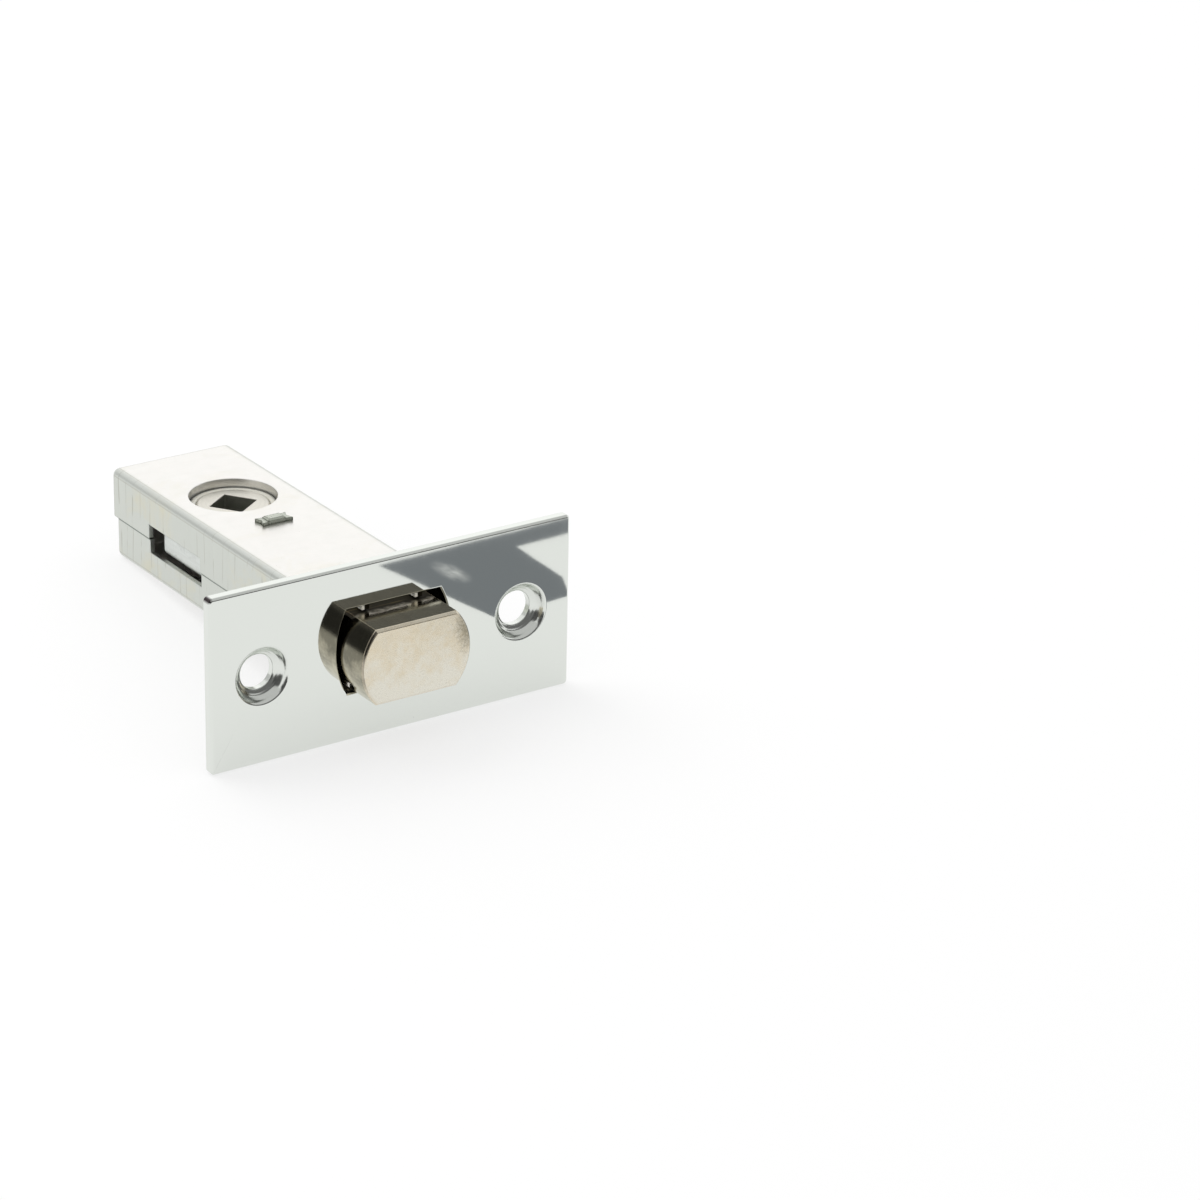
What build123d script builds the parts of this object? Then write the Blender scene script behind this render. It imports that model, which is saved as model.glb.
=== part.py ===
from math import acos, cos, radians, sin
import os

from build123d import *

# Tubular deadbolt for a bathroom or closet door, shown with its bolt part way out.
# X runs along the faceplate, Y into the door and Z across the door's thickness, in millimetres.
# The origin is on the faceplate's front, midway between the two screw holes.

# Faceplate, with two screw holes pressed into cups
plate_length = 57.0
plate_height = 25.5
plate_thickness = 1.5
plate_corner = 0.6
plate_edge = 0.3
screw_spacing = 41.0
screw_hole = 5.0
dish_width = 8.3
dish_depth = 1.7
dish_belly = 0.3
dish_lip = 0.15
cup_wall = 0.85
cup_length = 2.7

# Opening in the faceplate for the bolt, which leaves more room above the bolt than below it
aperture_chord = 14.8
aperture_width = 17.9
aperture_height = 12.3
aperture_rise = 0.4
aperture_edge = 0.2

# Bolt: a round bar with two flats
bolt_chord = 12.7
bolt_width = 17.2
bolt_height = 11.05
bolt_length = 25.0
bolt_edge = 0.35
bolt_out = 6.0
throw = 9.6

# Case: two folded half shells, the lower one nesting slightly inside the upper one's outline
case_width = 19.4
case_height = 13.5
case_length = 62.0
case_sheet = 0.8
case_bend = 1.1
seam_drop = 0.5
seam_gap = 0.16
lower_inset = 0.2
foot_width = 4.6
foot_height = 4.0
front_relief = 1.7
front_tab_spacing = 8.4
front_tab_width = 1.2
front_tab_reach = 1.0
front_tab_drop = 0.2
window_length = 14.8
window_height = 4.4
latch_tab_width = 7.0
latch_tab_rise = 3.0

# Hub: the holes in the case, their bushes and the follower turned by a square spindle
backset = 43.5
hub_hole = 12.7
hub_lip_depth = 1.5
hub_recess = 1.3
bush_fit = 0.02
bush_wall = 1.0
bush_chamfer = 0.35
journal_fit = 0.05
journal_end = 0.1
journal_chamfer = 0.25
thrust_gap = 0.1
spindle_square = 5.15
socket_corner = 0.25
core_width = 8.5
cam_thickness = 1.0
cam_flats = 12.4
cam_width = 14.4
arm_end_width = 3.2
rest_turn = 10.0
quarter_turn = 90.0

# Drive pin in the follower's arm, and the slot in the tail that it pushes
pin_width = 2.4
pin_side_gap = 0.15
pin_end_gap = 0.4
pin_rise = 0.2
pin_top_gap = 0.3

# Bolt tail: a folded channel with a tongue riveted into the bolt
tail_width = 16.8
tail_height = 5.0
tail_sheet = 1.2
tail_bend = 1.0
tail_end = 48.7
tail_corner = 1.2
cheek_start = 22.0
tail_to_cam = 0.4
tail_to_core = 0.25
tongue_width = 9.0
tongue_length = 8.5
tongue_fit = 0.05
rivet_width = 3.0
rivet_spacing = 5.2
rivet_setback = 4.4
rivet_fit = 0.02

# Post that ties the case halves together, with its staked ends
post_width = 5.0
post_depth = 2.0
post_place = 32.0
post_fit = 0.1
post_side_gap = 0.3
post_end_gap = 0.4
tenon_width = 4.2
tenon_depth = 1.6
stake_width = 4.9
stake_ear_depth = 2.2
stake_ear_height = 0.5
stake_notch = 0.45
stake_block_width = 2.8
stake_block_depth = 1.8
stake_height = 0.8
stake_edge = 0.25

# Detent springs: flat strips bent round the post that press on the cam's flats
strip_thickness = 0.5
strip_height = 0.9
strip_bend = 0.9
strip_to_post = 0.2
strip_to_cam = 0.2
strip_span = 14.8
strip_droop = 0.9

# Heights and depths that the pieces share
case_half = case_height / 2
panel_inner = case_half - case_sheet
lip_end = panel_inner - hub_lip_depth
bush_outer_end = case_half - hub_recess
journal_top = bush_outer_end + journal_end
bush_width = hub_hole - 2 * bush_fit
bush_bore = bush_width - 2 * bush_wall
journal_width = bush_bore - 2 * journal_fit
tail_half = tail_height / 2
web_top = tail_sheet - tail_half
pin_top = web_top + pin_rise
notch_top = pin_top + pin_top_gap
cam_inner = tail_half + tail_to_cam
cam_outer = cam_inner + cam_thickness
bush_inner_end = cam_outer + thrust_gap
head_end = bolt_length - bolt_out
upper_inner_end = case_length - case_sheet
foot_rise = case_bend + foot_height / 2

# How far the follower and the bolt go each way from where they stand
half_turn = quarter_turn / 2
arm_radius = throw / (2 * sin(radians(half_turn)))
travel_per_radian = throw / radians(quarter_turn)
turn_out = half_turn - rest_turn
turn_in = half_turn + rest_turn
travel_out = travel_per_radian * radians(turn_out)
travel_in = travel_per_radian * radians(turn_in)

# The pin moves on a circle and the bolt in step with the turn, so the pin wanders in its slot.
# It wanders furthest where both have the same speed, one way before mid turn and the other way after.
even_turn = acos(travel_per_radian / arm_radius)
start_turn = radians(rest_turn)


def wander(turn):
    return arm_radius * (sin(turn) - sin(start_turn)) - travel_per_radian * (turn - start_turn)


wander_ahead = wander(even_turn)
wander_behind = wander(-even_turn)
pin_rest_y = backset - arm_radius * sin(start_turn)
slot_middle = pin_rest_y - (wander_ahead + wander_behind) / 2
slot_width = pin_width + (wander_ahead - wander_behind) + 2 * pin_side_gap

# How near an edge or a corner lies to the place that it is picked by
near = 0.1

os.makedirs("parts", exist_ok=True)


# A plane across the lock at a depth behind the faceplate's front, facing out of the door
def across(depth):
    return Plane.XZ.offset(-depth)


# A plane through the follower at a height, with its first direction along the arm
def follower_plane(height):
    arm = (cos(start_turn), -sin(start_turn), 0)
    return Plane(origin=(0, backset, height), x_dir=arm, z_dir=(0, 0, 1))


# A plane that holds a screw hole's axis, for a profile of radius against depth
def screw_plane(side):
    return Plane(origin=(side * screw_spacing / 2, 0, 0), x_dir=(1, 0, 0), z_dir=(0, 0, 1))


# Section of a round bar with a flat above and below
def flatted_bar(chord, width, height):
    with BuildSketch() as section:
        with BuildLine():
            Line((-chord / 2, height / 2), (chord / 2, height / 2))
            ThreePointArc((chord / 2, height / 2), (width / 2, 0), (chord / 2, -height / 2))
            Line((chord / 2, -height / 2), (-chord / 2, -height / 2))
            ThreePointArc((-chord / 2, -height / 2), (-width / 2, 0), (-chord / 2, height / 2))
        make_face()
    return section.sketch


# A folded half shell, open at the faceplate and at the seam, with its panel on top
def folded_half(half_width, panel_height, seam_height, end):
    with BuildPart() as half:
        with BuildSketch(Plane.XY.offset(seam_height)):
            with Locations((0, (plate_thickness + end) / 2)):
                Rectangle(2 * half_width, end - plate_thickness)
        extrude(amount=panel_height - seam_height)
        bends = half.edges().filter_by(
            lambda edge: edge.center().Y > plate_thickness and edge.center().Z > seam_height
        )
        fillet(bends, case_bend)
        front = half.faces().sort_by(Axis.Y)[0]
        seam = half.faces().sort_by(Axis.Z)[0]
        offset(amount=-case_sheet, openings=[front, seam], kind=Kind.INTERSECTION)
    return half.part


# The follower's cam plate: flats for the detent spring, with rounded corners
def cam_outline():
    with BuildSketch() as outline:
        Rectangle(cam_flats, cam_flats, rotation=half_turn)
        Circle(cam_width / 2, mode=Mode.INTERSECT)
    return outline.sketch


# The square hole for the spindle
def socket_outline():
    with BuildSketch() as outline:
        RectangleRounded(spindle_square, spindle_square, socket_corner, rotation=half_turn)
    return outline.sketch


# Faceplate
with BuildPart() as faceplate:
    with BuildSketch(across(0)):
        RectangleRounded(plate_length, plate_height, plate_corner)
    extrude(amount=-plate_thickness)
    chamfer(faceplate.faces().sort_by(Axis.Y)[0].edges(), plate_edge)
    for side in (-1, 1):
        cup_outer = screw_hole / 2 + cup_wall
        cup_shoulder = dish_width / 2 + cup_wall
        with BuildSketch(screw_plane(side)):
            with BuildLine():
                Polyline(
                    (0, cup_length),
                    (0, plate_thickness / 2),
                    (cup_shoulder, plate_thickness / 2),
                    (cup_shoulder, plate_thickness),
                    (cup_outer, dish_depth + cup_wall),
                    (cup_outer, cup_length),
                    close=True,
                )
            make_face()
        revolve(axis=Axis((side * screw_spacing / 2, 0, 0), (0, 1, 0)))
        belly = ((dish_width + screw_hole) / 4 + dish_belly / 2, dish_depth / 2 + dish_belly)
        with BuildSketch(screw_plane(side)):
            with BuildLine():
                Polyline(
                    (0, 0),
                    (dish_width / 2, 0),
                    belly,
                    (screw_hole / 2, dish_depth),
                    (screw_hole / 2, cup_length),
                    (0, cup_length),
                    close=True,
                )
            make_face()
        revolve(axis=Axis((side * screw_spacing / 2, 0, 0), (0, 1, 0)), mode=Mode.SUBTRACT)
    with BuildSketch(across(0)):
        with Locations((0, aperture_rise)):
            add(flatted_bar(aperture_chord, aperture_width, aperture_height))
    extrude(amount=-plate_thickness, mode=Mode.SUBTRACT)
    with BuildSketch(across(0)):
        with Locations((0, aperture_rise)):
            add(flatted_bar(aperture_chord, aperture_width, aperture_height))
        offset(amount=aperture_edge, kind=Kind.INTERSECTION)
    extrude(amount=-aperture_edge, taper=45, mode=Mode.SUBTRACT)
    dish_rims = faceplate.edges().filter_by(GeomType.CIRCLE).filter_by(
        lambda edge: abs(edge.center().Y) < near and abs(edge.radius - dish_width / 2) < near
    )
    chamfer(dish_rims, dish_lip)

# Upper half of the case
with BuildPart() as upper_case:
    add(folded_half(case_width / 2, case_half, -seam_drop, case_length))
    with BuildSketch(Plane.XY.offset(lip_end)):
        with Locations((0, backset)):
            Circle(hub_hole / 2 + case_sheet)
    extrude(amount=hub_lip_depth + case_sheet / 2)
    with BuildSketch(Plane.XY.offset(lip_end)):
        with Locations((0, backset)):
            Circle(hub_hole / 2)
    extrude(amount=case_height, mode=Mode.SUBTRACT)
    with BuildSketch(Plane.XY.offset(panel_inner)):
        with Locations((0, post_place)):
            Rectangle(tenon_width + 2 * post_fit, tenon_depth + 2 * post_fit)
        with Locations((0, plate_thickness + front_relief / 2)):
            Rectangle(aperture_chord, front_relief)
    extrude(amount=case_height, mode=Mode.SUBTRACT)
    with BuildSketch(Plane.YZ):
        with Locations((backset, -seam_drop)):
            Rectangle(window_length, window_height)
    extrude(amount=case_width, both=True, mode=Mode.SUBTRACT)
    foot_middle = case_width / 2 + foot_width / 2
    for side in (-1, 1):
        with BuildSketch(across(plate_thickness)):
            with Locations((side * foot_middle, case_half - foot_rise)):
                RectangleRounded(foot_width, foot_height, case_sheet)
            with Locations((side * case_width / 2, case_half - foot_rise)):
                Rectangle(2 * case_sheet, foot_height)
        extrude(amount=-case_sheet)
        with BuildSketch(across(plate_thickness - front_tab_reach)):
            with Locations((side * front_tab_spacing / 2, panel_inner + case_sheet / 2 - front_tab_drop)):
                Rectangle(front_tab_width, case_sheet)
        extrude(amount=-(front_tab_reach + front_relief + case_sheet))

# Lower half of the case, a little narrower and shorter, with a tab that hooks behind the upper end wall
with BuildPart() as lower_case:
    lower_half_width = case_width / 2 - lower_inset
    add(mirror(folded_half(lower_half_width, case_half, seam_drop + seam_gap, upper_inner_end), Plane.XY))
    with BuildSketch(Plane.XY.offset(-lip_end)):
        with Locations((0, backset)):
            Circle(hub_hole / 2 + case_sheet)
    extrude(amount=-(hub_lip_depth + case_sheet / 2))
    with BuildSketch(Plane.XY.offset(-lip_end)):
        with Locations((0, backset)):
            Circle(hub_hole / 2)
    extrude(amount=-case_height, mode=Mode.SUBTRACT)
    with BuildSketch(Plane.XY.offset(-panel_inner)):
        with Locations((0, post_place)):
            Rectangle(tenon_width + 2 * post_fit, tenon_depth + 2 * post_fit)
        with Locations((0, plate_thickness + front_relief / 2)):
            Rectangle(aperture_chord, front_relief)
    extrude(amount=-case_height, mode=Mode.SUBTRACT)
    with BuildSketch(Plane.YZ):
        with Locations((backset, -seam_drop)):
            Rectangle(window_length, window_height)
    extrude(amount=case_width, both=True, mode=Mode.SUBTRACT)
    foot_middle = lower_half_width + foot_width / 2
    for side in (-1, 1):
        with BuildSketch(across(plate_thickness)):
            with Locations((side * foot_middle, foot_rise - case_half)):
                RectangleRounded(foot_width, foot_height, case_sheet)
            with Locations((side * lower_half_width, foot_rise - case_half)):
                Rectangle(2 * case_sheet, foot_height)
        extrude(amount=-case_sheet)
    with BuildSketch(across(upper_inner_end - case_sheet)):
        with Locations((0, (latch_tab_rise - case_sheet) / 2 - seam_drop)):
            Rectangle(latch_tab_width, latch_tab_rise + case_sheet)
    extrude(amount=-case_sheet)

# Post between the case halves, its tenons staked over outside the panels
with BuildPart() as case_post:
    with BuildSketch(Plane.XY.offset(-panel_inner)):
        with Locations((0, post_place)):
            Rectangle(post_width, post_depth)
    extrude(amount=2 * panel_inner)
    with BuildSketch(Plane.XY.offset(-case_half)):
        with Locations((0, post_place)):
            Rectangle(tenon_width, tenon_depth)
    extrude(amount=case_height)
    for side in (-1, 1):
        with BuildSketch(Plane.XY.offset(side * case_half)):
            with Locations((0, post_place)):
                Rectangle(stake_block_width, stake_block_depth)
        extrude(amount=side * stake_height)
        stake_end = case_post.faces().sort_by(Axis.Z)[0 if side < 0 else -1]
        chamfer(stake_end.edges(), stake_edge)
        with BuildSketch(Plane.XY.offset(side * case_half)):
            for way in (-1, 1):
                with BuildLine():
                    Polyline(
                        (way * stake_block_width / 3, post_place - tenon_depth / 2),
                        (way * stake_width / 2, post_place - stake_ear_depth / 2),
                        (way * (stake_width / 2 - stake_notch), post_place),
                        (way * stake_width / 2, post_place + stake_ear_depth / 2),
                        (way * stake_block_width / 3, post_place + tenon_depth / 2),
                        close=True,
                    )
                make_face()
        extrude(amount=side * stake_ear_height)

# Bolt head
with BuildPart() as bolt_head:
    with BuildSketch(across(-bolt_out)):
        add(flatted_bar(bolt_chord, bolt_width, bolt_height))
    extrude(amount=-bolt_length)
    chamfer(bolt_head.faces().sort_by(Axis.Y)[0].edges(), bolt_edge)
    chamfer(bolt_head.faces().sort_by(Axis.Y)[-1].edges(), bolt_edge)
    tongue_middle = -tail_half + tail_sheet / 2
    with BuildSketch(across(head_end)):
        with Locations((0, tongue_middle)):
            Rectangle(tongue_width + 2 * tongue_fit, tail_sheet + 2 * tongue_fit)
    extrude(amount=tongue_length + 2 * tongue_fit, mode=Mode.SUBTRACT)
    with BuildSketch(Plane.XY.offset(-case_half)):
        with Locations((0, head_end - rivet_setback)):
            with GridLocations(rivet_spacing, 0, 2, 1):
                Circle(rivet_width / 2 + rivet_fit)
    extrude(amount=case_height, mode=Mode.SUBTRACT)

# Bolt tail
with BuildPart() as bolt_tail:
    with BuildSketch(Plane.XY.offset(-tail_half)) as web:
        with Locations((0, (head_end + tail_end) / 2)):
            Rectangle(tail_width, tail_end - head_end)
        with Locations((0, head_end - tongue_length / 2)):
            Rectangle(tongue_width, tongue_length)
        post_slot_start = post_place - travel_in - post_depth / 2 - post_end_gap
        with Locations((0, (post_slot_start + tail_end) / 2)):
            Rectangle(post_width + 2 * post_side_gap, tail_end - post_slot_start, mode=Mode.SUBTRACT)
        core_slot_start = backset - travel_in - core_width / 2 - tail_to_core
        with Locations((0, (core_slot_start + tail_end) / 2)):
            Rectangle(core_width + 2 * tail_to_core, tail_end - core_slot_start, mode=Mode.SUBTRACT)
        slot_outer = arm_radius + pin_width / 2 + pin_end_gap
        with Locations((slot_outer / 2, slot_middle)):
            Rectangle(slot_outer, slot_width, mode=Mode.SUBTRACT)
        with Locations((0, head_end - rivet_setback)):
            with GridLocations(rivet_spacing, 0, 2, 1):
                Circle(rivet_width / 2 + rivet_fit, mode=Mode.SUBTRACT)
        inner_corners = web.vertices().filter_by(
            lambda corner: post_slot_start - near < corner.Y < tail_end - near
            and abs(corner.X) < slot_outer - near
        )
        fillet(inner_corners, post_side_gap)
    extrude(amount=tail_sheet)
    with BuildSketch(Plane.XY.offset(-tail_half)):
        for side in (-1, 1):
            with Locations((side * (tail_width - tail_sheet) / 2, (cheek_start + tail_end) / 2)):
                Rectangle(tail_sheet, tail_end - cheek_start)
    extrude(amount=tail_height)
    cheek_corners = bolt_tail.edges().filter_by(Axis.X).filter_by(
        lambda edge: edge.center().Z > tail_half - near
    )
    fillet(cheek_corners, tail_corner)
    folds = bolt_tail.edges().filter_by(Axis.Y).filter_by(
        lambda edge: edge.center().Z < near - tail_half and abs(edge.center().X) > tail_width / 2 - near
    )
    fillet(folds, tail_bend)
    with BuildSketch(Plane.YZ.offset(core_width / 2)):
        with Locations((slot_middle, (notch_top - tail_half) / 2)):
            Rectangle(slot_width, tail_half + notch_top)
    extrude(amount=case_width / 2, mode=Mode.SUBTRACT)

# Rivets that hold the tongue in the bolt
bolt_rivets = []
for side in (-1, 1):
    with BuildPart() as bolt_rivet:
        with BuildSketch(Plane.XY.offset(-bolt_height / 2)):
            with Locations((side * rivet_spacing / 2, head_end - rivet_setback)):
                Circle(rivet_width / 2)
        extrude(amount=bolt_height)
    bolt_rivets.append(bolt_rivet.part)

# Lower half of the follower, with the core that passes through the tail and the arm for the pin
with BuildPart() as follower_lower:
    with BuildSketch(follower_plane(-journal_top)):
        Circle(journal_width / 2)
    extrude(amount=journal_top - cam_outer)
    chamfer(follower_lower.faces().sort_by(Axis.Z)[0].edges(), journal_chamfer)
    with BuildSketch(follower_plane(-cam_outer)):
        add(cam_outline())
        with Locations((arm_radius / 2, 0)):
            Rectangle(arm_radius, arm_end_width)
        with Locations((arm_radius, 0)):
            Circle(arm_end_width / 2)
    extrude(amount=cam_thickness)
    with BuildSketch(follower_plane(-cam_inner)):
        Circle(core_width / 2)
    extrude(amount=2 * cam_inner)
    with BuildSketch(follower_plane(-journal_top)):
        add(socket_outline())
    extrude(amount=2 * journal_top, mode=Mode.SUBTRACT)
    with BuildSketch(follower_plane(-cam_outer)):
        with Locations((arm_radius, 0)):
            Circle(pin_width / 2)
    extrude(amount=cam_thickness, mode=Mode.SUBTRACT)

# Upper half of the follower
with BuildPart() as follower_upper:
    with BuildSketch(follower_plane(cam_inner)):
        add(cam_outline())
    extrude(amount=cam_thickness)
    with BuildSketch(follower_plane(cam_outer)):
        Circle(journal_width / 2)
    extrude(amount=journal_top - cam_outer)
    chamfer(follower_upper.faces().sort_by(Axis.Z)[-1].edges(), journal_chamfer)
    with BuildSketch(follower_plane(cam_inner)):
        add(socket_outline())
    extrude(amount=journal_top, mode=Mode.SUBTRACT)

# Pin in the follower's arm
with BuildPart() as drive_pin:
    with BuildSketch(follower_plane(-cam_outer)):
        with Locations((arm_radius, 0)):
            Circle(pin_width / 2)
    extrude(amount=cam_outer + pin_top)

# Bushes that the follower turns in, one pressed into each side of the case
bushes = []
for side in (-1, 1):
    with BuildPart() as bush:
        with BuildSketch(Plane.XY.offset(side * bush_inner_end)):
            with Locations((0, backset)):
                Circle(bush_width / 2)
                Circle(bush_bore / 2, mode=Mode.SUBTRACT)
        extrude(amount=side * (bush_outer_end - bush_inner_end))
        outer_rim = bush.edges().filter_by(GeomType.CIRCLE).filter_by(
            lambda edge: abs(edge.center().Z) > bush_outer_end - near and edge.radius > bush_bore / 2 + near
        )
        chamfer(outer_rim, bush_chamfer)
    bushes.append(bush.part)

# Detent springs
springs = []
for side in (-1, 1):
    strip_middle = side * (cam_inner + cam_outer) / 2
    strip_side = post_width / 2 + strip_to_post + strip_thickness / 2
    strip_front = post_place - post_depth / 2 - strip_to_post - strip_thickness / 2
    cam_depth = ((cam_width / 2) ** 2 - strip_side**2) ** 0.5
    strip_back = backset - cam_depth - strip_to_cam - strip_thickness / 2
    with BuildPart() as spring:
        with BuildSketch(Plane.XY.offset(strip_middle - strip_height / 2)):
            with BuildLine():
                FilletPolyline(
                    (-strip_span / 2, strip_back - strip_droop),
                    (-strip_side, strip_back),
                    (-strip_side, strip_front),
                    (strip_side, strip_front),
                    (strip_side, strip_back),
                    (strip_span / 2, strip_back - strip_droop),
                    radius=strip_bend,
                )
            trace(line_width=strip_thickness)
        extrude(amount=strip_height)
    springs.append(spring.part)

pieces = {
    "faceplate": faceplate.part,
    "upper_case": upper_case.part,
    "lower_case": lower_case.part,
    "case_post": case_post.part,
    "bolt_head": bolt_head.part,
    "bolt_tail": bolt_tail.part,
    "left_bolt_rivet": bolt_rivets[0],
    "right_bolt_rivet": bolt_rivets[1],
    "follower_lower": follower_lower.part,
    "follower_upper": follower_upper.part,
    "drive_pin": drive_pin.part,
    "lower_bush": bushes[0],
    "upper_bush": bushes[1],
    "lower_detent_spring": springs[0],
    "upper_detent_spring": springs[1],
}
for name, piece in pieces.items():
    piece.label = name
    export_step(piece, f"parts/{name}.step")

print("bolt travel in and out", round(travel_in, 3), round(travel_out, 3))
print("bolt metres per radian of follower", round(travel_per_radian / 1000, 6))
print("slot width and middle", round(slot_width, 3), round(slot_middle, 3))
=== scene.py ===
from math import cos, radians, sin

import bmesh
import bpy
from mathutils import Matrix, Vector


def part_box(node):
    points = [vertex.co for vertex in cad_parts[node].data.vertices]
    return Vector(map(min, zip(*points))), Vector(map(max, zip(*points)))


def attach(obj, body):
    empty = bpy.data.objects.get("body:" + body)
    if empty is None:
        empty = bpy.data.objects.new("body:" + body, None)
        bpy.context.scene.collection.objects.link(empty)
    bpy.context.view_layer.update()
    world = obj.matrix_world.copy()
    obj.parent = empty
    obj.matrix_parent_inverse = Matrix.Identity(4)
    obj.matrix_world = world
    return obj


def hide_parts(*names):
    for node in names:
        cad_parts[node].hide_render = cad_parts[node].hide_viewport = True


# Finishes, edges and studio for a tubular deadbolt. Everything is in metres, in the lock's own frame.
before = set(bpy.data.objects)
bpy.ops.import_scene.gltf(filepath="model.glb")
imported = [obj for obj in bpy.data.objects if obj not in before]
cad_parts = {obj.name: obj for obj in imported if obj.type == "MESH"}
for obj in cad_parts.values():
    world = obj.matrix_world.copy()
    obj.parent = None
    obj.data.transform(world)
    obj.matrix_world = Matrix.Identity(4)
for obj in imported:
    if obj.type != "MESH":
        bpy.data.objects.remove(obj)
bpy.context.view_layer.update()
scene = bpy.context.scene
mm = 0.001
fullTurn = 6.283
print("frame loaded with", len(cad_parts), "pieces")


# Small helpers for node trees, shared by the finishes and the geometry
def addNode(tree, kind, sockets=None, **settings):
    node = tree.nodes.new(kind)
    for name, value in settings.items():
        setattr(node, name, value)
    for key, value in (sockets or {}).items():
        if isinstance(value, bpy.types.NodeSocket):
            tree.links.new(value, node.inputs[key])
        else:
            node.inputs[key].default_value = value
    return node


def calc(tree, operation, first, second=0.0):
    return addNode(tree, "ShaderNodeMath", {0: first, 1: second}, operation=operation).outputs[0]


def remap(tree, value, low, high, toLow=0.0, toHigh=1.0):
    limits = {"Value": value, "From Min": low, "From Max": high, "To Min": toLow, "To Max": toHigh}
    return addNode(tree, "ShaderNodeMapRange", limits).outputs["Result"]


def blendColour(tree, mask, first, second, mode="MIX"):
    sockets = {0: mask, 6: first, 7: second}
    return addNode(tree, "ShaderNodeMix", sockets, data_type="RGBA", blend_type=mode).outputs[2]


def noise(tree, vector, scale, detail=3.0, roughness=0.5, distortion=0.0):
    sockets = {"Vector": vector, "Scale": scale, "Detail": detail, "Roughness": roughness}
    sockets["Distortion"] = distortion
    return addNode(tree, "ShaderNodeTexNoise", sockets).outputs[0]


def stretch(tree, vector, scale, turn=(0, 0, 0), place=(0, 0, 0)):
    sockets = {"Vector": vector, "Scale": scale, "Rotation": turn, "Location": place}
    return addNode(tree, "ShaderNodeMapping", sockets).outputs[0]


def makeVector(tree, x=0.0, y=0.0, z=0.0):
    return addNode(tree, "ShaderNodeCombineXYZ", {0: x, 1: y, 2: z}).outputs[0]


def newGroup(name, inputs, outputs):
    group = bpy.data.node_groups.new(name, "ShaderNodeTree")
    for label, (kind, value) in inputs.items():
        group.interface.new_socket(label, in_out="INPUT", socket_type=kind).default_value = value
    for label in outputs:
        group.interface.new_socket(label, in_out="OUTPUT", socket_type="NodeSocketFloat")
    return group, group.nodes.new("NodeGroupInput"), group.nodes.new("NodeGroupOutput")


def useGroup(tree, group, sockets):
    return addNode(tree, "ShaderNodeGroup", sockets, node_tree=group)


vectorKind = ("NodeSocketVector", (0, 0, 0))


# Outer edges: a mask that is 1 along the outer corners, broken up by noise, for rubbed edges, and on the
# staked steel for dirt and painted shade
def makeOuterEdgeMask():
    inputs = {
        "Vector": vectorKind,
        "Width": ("NodeSocketFloat", 0.0002),
        "Grain": ("NodeSocketFloat", 2.0),
        "Reach": ("NodeSocketFloat", 0.12),
    }
    group, start, end = newGroup("outerEdgeMask", inputs, ["Mask"])
    rounded = addNode(group, "ShaderNodeBevel", {"Radius": start.outputs["Width"]}, samples=2)
    plain = addNode(group, "ShaderNodeNewGeometry")
    sockets = {0: rounded.outputs[0], 1: plain.outputs["Normal"]}
    alike = addNode(group, "ShaderNodeVectorMath", sockets, operation="DOT_PRODUCT").outputs["Value"]
    turned = calc(group, "SUBTRACT", 1.0, alike)
    rough = noise(group, start.outputs["Vector"], start.outputs["Grain"], 4.0, 0.6)
    broken = calc(group, "MULTIPLY", turned, remap(group, rough, 0.3, 0.7, 0.25, 1.3))
    mask = remap(group, broken, 0.004, start.outputs["Reach"])
    group.links.new(mask, end.inputs["Mask"])
    return group


# Lines left by rolling, grinding or polishing: noise drawn out along one direction
def makeBrushLines():
    inputs = {
        "Vector": vectorKind,
        "Stretch": ("NodeSocketVector", (1, 1, 1)),
        "Spread": ("NodeSocketFloat", 0.5),
    }
    group, start, end = newGroup("brushLines", inputs, ["Height", "Mask"])
    sockets = {0: start.outputs["Vector"], 1: start.outputs["Stretch"]}
    drawn = addNode(group, "ShaderNodeVectorMath", sockets, operation="MULTIPLY").outputs[0]
    fine = noise(group, drawn, 1.0, 4.0, 0.65)
    coarse = noise(group, drawn, 0.23, 2.0, 0.5)
    height = calc(group, "ADD", calc(group, "MULTIPLY", fine, 0.7), calc(group, "MULTIPLY", coarse, 0.3))
    sockets = {0: start.outputs["Spread"], 1: -0.5, 2: 0.5}
    lowEnd = addNode(group, "ShaderNodeMath", sockets, operation="MULTIPLY_ADD").outputs[0]
    mask = remap(group, height, lowEnd, 0.72)
    group.links.new(height, end.inputs["Height"])
    group.links.new(mask, end.inputs["Mask"])
    return group


# Short hair scratches in three directions
def makeScratches():
    inputs = {
        "Vector": vectorKind,
        "Density": ("NodeSocketFloat", 0.6),
        "Thickness": ("NodeSocketFloat", 0.05),
    }
    group, start, end = newGroup("fineScratches", inputs, ["Mask"])
    turns = ((0.2, 0.5, 0.3), (1.1, -0.4, 1.7), (-0.7, 1.2, 2.6))
    total = None
    for order, turn in enumerate(turns):
        place = (7.3 * order, 2.1 * order, 5.7 * order)
        drawn = stretch(group, start.outputs["Vector"], (1.0, 0.07, 1.0), turn, place)
        sockets = {"Vector": drawn, "Scale": start.outputs["Density"]}
        cells = addNode(group, "ShaderNodeTexVoronoi", sockets)
        near = remap(group, cells.outputs["Distance"], 0.0, start.outputs["Thickness"], 1.0, 0.0)
        total = near if total is None else calc(group, "MAXIMUM", total, near)
    group.links.new(total, end.inputs["Mask"])
    return group


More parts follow.
